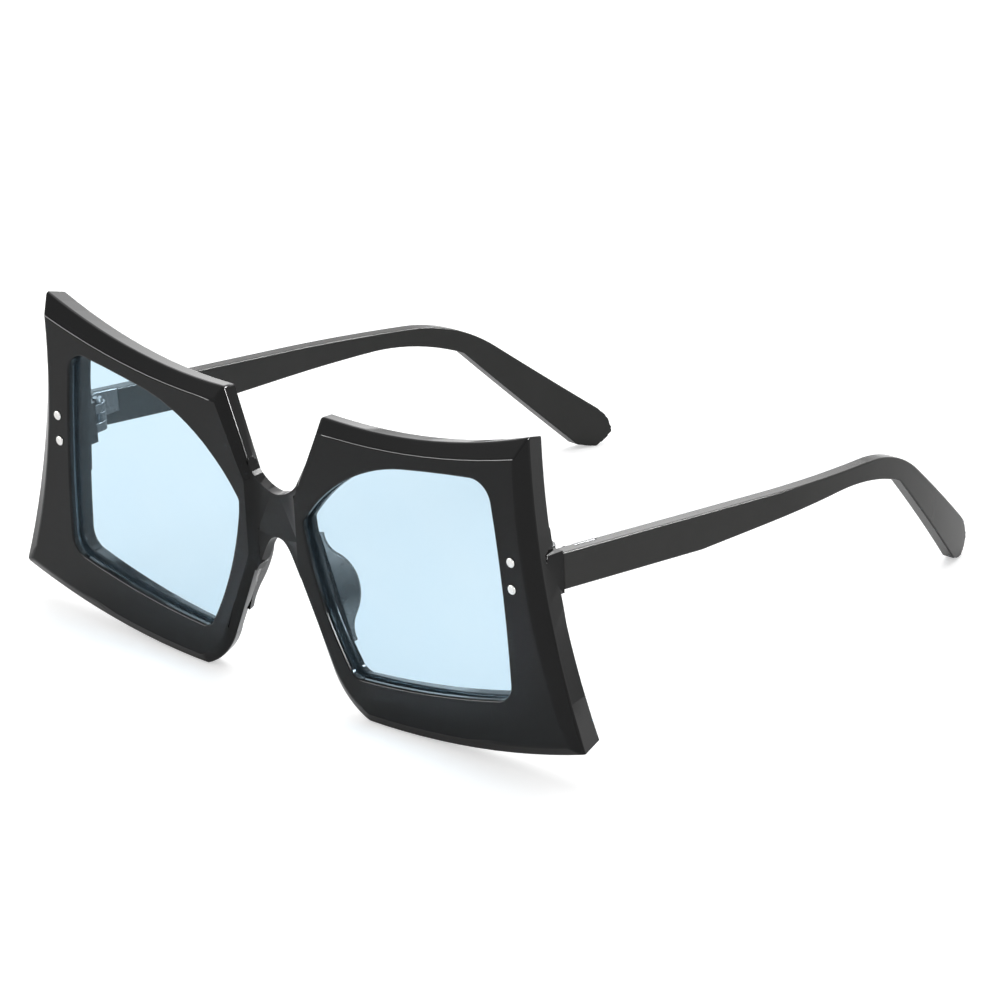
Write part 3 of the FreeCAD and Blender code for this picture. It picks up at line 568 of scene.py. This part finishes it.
def set_on_points(tree, entry, leave, shapes):
    """Stand the joined shapes on every point, along its axis and turned about it, in one finished mesh."""
    whole = add_node(tree, "GeometryNodeJoinGeometry", (100, 0))
    for shape, output in shapes:
        join(tree, shape, output, whole, "Geometry")
    axis = add_node(tree, "GeometryNodeInputNamedAttribute", (-100, -300), Name="axis")
    axis.data_type = "FLOAT_VECTOR"
    turn = add_node(tree, "GeometryNodeInputNamedAttribute", (-100, -500), Name="turn")
    turn.data_type = "FLOAT"
    upright = add_node(tree, "FunctionNodeAlignRotationToVector", (100, -300))
    join(tree, axis, "Attribute", upright, "Vector")
    spin = add_node(tree, "FunctionNodeAxisAngleToRotation", (100, -500), Axis=(0, 0, 1))
    join(tree, turn, "Attribute", spin, "Angle")
    turned = add_node(tree, "FunctionNodeRotateRotation", (300, -400))
    turned.rotation_space = "LOCAL"
    join(tree, upright, "Rotation", turned, "Rotation")
    join(tree, spin, "Rotation", turned, "Rotate By")
    stand = add_node(tree, "GeometryNodeInstanceOnPoints", (500, 0))
    join(tree, entry, "Geometry", stand, "Points")
    join(tree, whole, "Geometry", stand, "Instance")
    join(tree, turned, "Rotation", stand, "Rotation")
    real = add_node(tree, "GeometryNodeRealizeInstances", (700, 0))
    join(tree, stand, "Instances", real, "Geometry")
    finish = add_node(tree, "GeometryNodeSetMaterial", (900, 0))
    join(tree, real, "Geometry", finish, "Geometry")
    join(tree, entry, "Finish", finish, "Material")
    join(tree, finish, "Geometry", leave, "Geometry")


def rivet_tree(sizes):
    """Rivet: a low dome, half sunk in its seat, on a round shank."""
    tree, entry, leave = fastener_tree("rivets", sizes)
    ball = add_node(
        tree, "GeometryNodeMeshUVSphere", (-900, 100), Segments=RIVET_HEAD_STEPS, Rings=RIVET_HEAD_RINGS
    )
    join(tree, entry, "Head Radius", ball, "Radius")
    flatness = calculate(tree, "DIVIDE", (-900, 350), (entry, "Crown Height"), (entry, "Head Radius"))
    squeeze = add_node(tree, "ShaderNodeCombineXYZ", (-700, 350), X=1.0, Y=1.0)
    join(tree, flatness, "Value", squeeze, "Z")
    dome = add_node(tree, "GeometryNodeTransform", (-500, 100))
    join(tree, ball, "Mesh", dome, "Geometry")
    join(tree, squeeze, "Vector", dome, "Scale")
    smooth = add_node(tree, "GeometryNodeSetShadeSmooth", (-250, 100))
    join(tree, dome, "Geometry", smooth, "Geometry")
    set_on_points(tree, entry, leave, [(smooth, "Geometry"), (shank_rod(tree, entry), "Geometry")])
    return tree


def screw_tree(sizes):
    """Screw: a tapered head with a slot sawn across it, on the shank that is the hinge's pin."""
    tree, entry, leave = fastener_tree("screws", sizes)
    head = add_node(tree, "GeometryNodeMeshCone", (-900, 100), Vertices=SCREW_HEAD_STEPS)
    join(tree, entry, "Rim Radius", head, "Radius Top")
    join(tree, entry, "Head Radius", head, "Radius Bottom")
    join(tree, entry, "Head Height", head, "Depth")
    length = calculate(tree, "MULTIPLY", (-1100, 500), (entry, "Head Radius"), SAW_LENGTH_SHARE)
    depth = calculate(tree, "MULTIPLY", (-1100, 650), (entry, "Slot Depth"), SAW_HEIGHT_SHARE)
    extent = add_node(tree, "ShaderNodeCombineXYZ", (-900, 500))
    join(tree, length, "Value", extent, "X")
    join(tree, entry, "Slot Width", extent, "Y")
    join(tree, depth, "Value", extent, "Z")
    saw = add_node(tree, "GeometryNodeMeshCube", (-700, 500))
    join(tree, extent, "Vector", saw, "Size")
    top = add_node(tree, "ShaderNodeCombineXYZ", (-700, 750))
    join(tree, entry, "Head Height", top, "Z")
    placed = add_node(tree, "GeometryNodeTransform", (-500, 500))
    join(tree, saw, "Mesh", placed, "Geometry")
    join(tree, top, "Vector", placed, "Translation")
    slotted = add_node(tree, "GeometryNodeMeshBoolean", (-250, 250))
    slotted.operation = "DIFFERENCE"
    join(tree, head, "Mesh", slotted, "Mesh 1")
    join(tree, placed, "Geometry", slotted, "Mesh 2")
    set_on_points(tree, entry, leave, [(slotted, "Mesh"), (shank_rod(tree, entry), "Geometry")])
    return tree


def fasteners(name, tree, points, axes, turns, sizes, material, nodes):
    """One mesh of all the fasteners of a kind, which stands for their CAD nodes."""
    mesh = bpy.data.meshes.new(name)
    mesh.from_pydata(points, [], [])
    mesh.materials.append(material)
    ways = [number for way in axes for number in way]
    mesh.attributes.new("axis", "FLOAT_VECTOR", "POINT").data.foreach_set("vector", ways)
    mesh.attributes.new("turn", "FLOAT", "POINT").data.foreach_set("value", turns)
    piece = link(bpy.data.objects.new(name, mesh))
    maker = piece.modifiers.new(name, "NODES")
    maker.node_group = tree
    values = {**sizes, "Finish": material}
    for item in tree.interface.items_tree:
        if item.in_out == "INPUT" and item.name in values:
            maker[item.identifier] = values[item.name]
    settle_modifiers(piece)
    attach(piece, "front")
    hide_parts(*nodes)


def rivet_ends(node):
    """Centres of a rivet's front and back ends, read from its CAD node."""
    points = [vertex.co.copy() for vertex in frame["nodes"][node].data.vertices]
    ends = []
    for pick in (min, max):
        limit = pick(point.y for point in points)
        ring = [point for point in points if abs(point.y - limit) < RIVET_CROWN]
        ends.append(sum(ring, Vector()) / len(ring))
    return ends


def build_rivets(material):
    """Rivets along their CAD nodes, their domes standing proud of the face by the crown."""
    nodes = [f"rivet_{place}_{side}" for place in ("upper", "lower") for side in SIDES]
    points = []
    axes = []
    reaches = []
    for front, back in map(rivet_ends, nodes):
        way = (front - back).normalized()
        seat = front - way * RIVET_CROWN
        points.append(seat)
        axes.append(way)
        reaches.append((seat - back).length)
    sizes = {
        "Head Radius": RIVET_HEAD_RADIUS,
        "Crown Height": RIVET_CROWN,
        "Shank Radius": RIVET_SHANK_RADIUS,
        "Shank Length": min(reaches),
    }
    unturned = [0.0] * len(nodes)
    fasteners("rivet_heads", rivet_tree(sizes), points, axes, unturned, sizes, material, nodes)


def build_screws(material):
    """Screws on the two folding axes, their heads on top of the barrels."""
    nodes = [f"hinge_screw_{side}" for side in SIDES]
    points = []
    axes = []
    lengths = []
    for joint, node in zip(frame["joints"], nodes):
        way = Vector(joint["axis"])
        way *= math.copysign(1.0, way.z)
        pivot = Vector(joint["pos_m"])
        low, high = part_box(node)
        rise = (high[2] - pivot.z) / way.z
        points.append(pivot + way * (rise - SCREW_HEAD_HEIGHT))
        axes.append(way)
        lengths.append(high[2] - low[2] - SCREW_HEAD_HEIGHT)
    sizes = {
        "Head Radius": SCREW_HEAD_RADIUS,
        "Rim Radius": SCREW_RIM_RADIUS,
        "Head Height": SCREW_HEAD_HEIGHT,
        "Slot Width": SCREW_SLOT_WIDTH,
        "Slot Depth": SCREW_SLOT_DEPTH,
        "Shank Radius": SCREW_SHANK_RADIUS,
        "Shank Length": min(lengths),
    }
    fasteners("hinge_screws", screw_tree(sizes), points, axes, SCREW_TURNS, sizes, material, nodes)


# Every piece of the glasses.


def front_finish():
    return plastic(
        "front_black",
        dark=(0.004, 0.0042, 0.0044),
        pale=(0.006, 0.0062, 0.0064),
        roughness=(0.05, 0.1),
        wave_scale=120.0,
        relief=0.02,
        stretch=(60.0, 1500.0, 60.0),
        refraction=1.31,
    )


def temple_plastic_painted_light():
    # Painted light: the temples' black plastic gets a lighter base colour than the front's, standing in for
    # the light the temples catch.
    return plastic(
        "temple_black_painted_light",
        dark=(0.034, 0.034, 0.033),
        pale=(0.04, 0.04, 0.039),
        roughness=(0.06, 0.11),
        wave_scale=120.0,
        relief=0.02,
        stretch=(900.0, 40.0, 900.0),
        refraction=1.22,
    )


def pad_finish():
    return plastic(
        "pad_grey",
        dark=(0.008, 0.008, 0.008),
        pale=(0.012, 0.012, 0.012),
        roughness=(0.2, 0.3),
        wave_scale=200.0,
        relief=0.05,
        stretch=(200.0, 200.0, 900.0),
        refraction=1.4,
    )


def build_front(material):
    softened(
        "front_frame",
        "front_moulding",
        FRONT_EDGE_RADIUS,
        material,
        "front",
        mend=round_arch,
        may_round=clear_of_bridge_and_lugs,
    )


def build_temple(side, material):
    softened(
        f"temple_{side}",
        f"temple_moulding_{side}",
        TEMPLE_EDGE_RADIUS,
        material,
        f"arm_{side}",
    )


def build_nose_pad(side, material):
    softened(
        f"nose_pad_{side}",
        f"nose_pad_moulding_{side}",
        PAD_EDGE_RADIUS,
        material,
        "front",
        may_round=clear_of_bridge_and_lugs,
    )


def build_hinge(side, material):
    """Both leaves of a hinge, one on the front and one on the temple."""
    softened(
        f"front_hinge_{side}",
        f"front_leaf_{side}",
        HINGE_EDGE_RADIUS,
        material,
        "front",
    )
    softened(
        f"temple_hinge_{side}",
        f"temple_leaf_{side}",
        HINGE_EDGE_RADIUS,
        material,
        f"arm_{side}",
        mend=trim_leaf,
    )


def build_pieces():
    front_black = front_finish()
    temple_black_painted_light = temple_plastic_painted_light()
    pad_grey = pad_finish()
    rivet_silver = plated_metal("rivet_silver", bright=(0.8, 0.79, 0.77), worn=(0.66, 0.65, 0.63))
    # Painted shade: the hinge leaves and screws get a near-black steel colour, in place of the dark
    # surroundings they mirror and the tinted lens in front of them.
    hinge_steel_painted_shade = plated_metal("hinge_steel_painted_shade", bright=(0.11, 0.113, 0.116), worn=(0.07, 0.071, 0.073))
    blue = lens_blue()
    build_front(front_black)
    for side in SIDES:
        build_temple(side, temple_black_painted_light)
        build_nose_pad(side, pad_grey)
        build_hinge(side, hinge_steel_painted_shade)
        dress(f"lens_{side}", blue)
    build_rivets(rivet_silver)
    build_screws(hinge_steel_painted_shade)


# Studio.


def look_at(place, aim):
    """Turn that points an object's -Z axis from a place at an aim."""
    return (aim - place).to_track_quat("-Z", "Y").to_matrix().to_4x4()


def studio_camera():
    data = bpy.data.cameras.new("camera")
    data.sensor_width = SENSOR_WIDTH
    data.lens = FOCAL_PIXELS / PICTURE_PIXELS * SENSOR_WIDTH
    data.clip_start = CLIP_START
    camera = link(bpy.data.objects.new("camera", data))
    turn = math.radians(VIEW_AZIMUTH)
    rise = math.radians(VIEW_ELEVATION)
    back = Vector((math.sin(turn) * math.cos(rise), -math.cos(turn) * math.cos(rise), math.sin(rise)))
    place = VIEW_AIM + back * VIEW_DISTANCE
    camera.matrix_world = Matrix.Translation(place) @ look_at(place, VIEW_AIM)
    bpy.context.scene.camera = camera


def softbox(name, place, width, height, brightness):
    """Soft lamp of an even brightness, turned to the glasses."""
    data = bpy.data.lights.new(name, "AREA")
    data.shape = "RECTANGLE"
    data.size = width
    data.size_y = height
    data.energy = brightness * math.pi * width * height
    lamp = link(bpy.data.objects.new(name, data))
    place = Vector(place)
    lamp.matrix_world = Matrix.Translation(place) @ look_at(place, LAMP_AIM)
    return lamp


def studio_lamps():
    """Three lamps that light the scene, and three that only draw bright lines along the glossy edges."""
    softbox("back_light", place=(-0.68, 0.8, 0.66), width=1.0, height=0.8, brightness=2.0)
    softbox("top_light", place=(-0.1, 0.2, 1.15), width=1.0, height=1.0, brightness=1.7)
    softbox("side_light", place=(0.85, 0.75, 0.12), width=0.5, height=0.2, brightness=1.0)
    ridge = softbox("ridge_light", place=(-0.75, -0.9, 0.13), width=0.5, height=0.12, brightness=18.0)
    side = softbox("edge_light_side", place=(1.05, 0.0, 0.45), width=0.4, height=0.3, brightness=90.0)
    back = softbox("edge_light_back", place=(0.45, 0.81, 0.72), width=0.4, height=0.3, brightness=75.0)
    for lamp in (ridge, side, back):
        lamp.visible_diffuse = False


def studio_world():
    """Soft surround: white where it is seen, and dim in front where the glossy plastic mirrors it."""
    world = bpy.data.worlds.new("studio")
    bpy.context.scene.world = world
    world.use_nodes = True
    tree = world.node_tree
    tree.nodes.clear()
    output = add_node(tree, "ShaderNodeOutputWorld", (900, 0))
    light = add_node(tree, "ShaderNodeBackground", (700, 0), Color=WHITE)
    join(tree, light, "Background", output, "Surface")
    path = add_node(tree, "ShaderNodeLightPath", (-700, 300))
    seen = calculate(tree, "MAXIMUM", (-400, 300), (path, "Is Camera Ray"), (path, "Is Transmission Ray"))
    spot = add_node(tree, "ShaderNodeTexCoord", (-900, -100))
    parts = add_node(tree, "ShaderNodeSeparateXYZ", (-700, -100))
    join(tree, spot, "Generated", parts, "Vector")
    mirrored = add_node(
        tree,
        "ShaderNodeMapRange",
        (-400, -100),
        From_Min=SURROUND_FRONT_END,
        From_Max=SURROUND_BACK_START,
        To_Min=SURROUND_FRONT,
        To_Max=SURROUND_BACK,
    )
    join(tree, parts, "Y", mirrored, "Value")
    gloss = add_node(tree, "ShaderNodeMix", (0, 0), A=SURROUND_FILL)
    join(tree, path, "Is Glossy Ray", gloss, "Factor")
    join(tree, mirrored, "Result", gloss, "B")
    plain = add_node(tree, "ShaderNodeMix", (300, 0), B=1.0)
    join(tree, seen, "Value", plain, "Factor")
    join(tree, gloss, "Result", plain, "A")
    join(tree, plain, "Result", light, "Strength")


def table_white():
    """White table: where it is seen or mirrored, its own light makes up for what the lamps leave short."""
    material, tree, output = empty_material("table_white")
    matt = add_node(tree, "ShaderNodeBsdfDiffuse", (0, 100), Color=TABLE_COLOUR)
    glow = add_node(tree, "ShaderNodeEmission", (0, -100), Color=WHITE)
    path = add_node(tree, "ShaderNodeLightPath", (-800, -200))
    seen = calculate(tree, "MULTIPLY", (-500, -150), (path, "Is Camera Ray"), TABLE_GLOW)
    either = calculate(tree, "MAXIMUM", (-650, -350), (path, "Is Glossy Ray"), (path, "Is Transmission Ray"))
    mirrored = calculate(tree, "MULTIPLY", (-500, -350), (either, "Value"), TABLE_GLOW_MIRRORED)
    share = calculate(tree, "ADD", (-200, -200), (seen, "Value"), (mirrored, "Value"))
    join(tree, share, "Value", glow, "Strength")
    total = add_node(tree, "ShaderNodeAddShader", (300, 0))
    join(tree, matt, "BSDF", total, 0)
    join(tree, glow, "Emission", total, 1)
    join(tree, total, "Shader", output, "Surface")
    return material


def studio_table():
    mesh = bpy.data.meshes.new("table")
    half = TABLE_HALF_WIDTH
    corners = [(-half, -half, 0), (half, -half, 0), (half, half, 0), (-half, half, 0)]
    mesh.from_pydata(corners, [], [(0, 1, 2, 3)])
    mesh.materials.append(table_white())
    link(bpy.data.objects.new("table", mesh))


build_pieces()
studio_table()
studio_world()
studio_lamps()
studio_camera()
bpy.context.scene.view_settings.view_transform = "Standard"
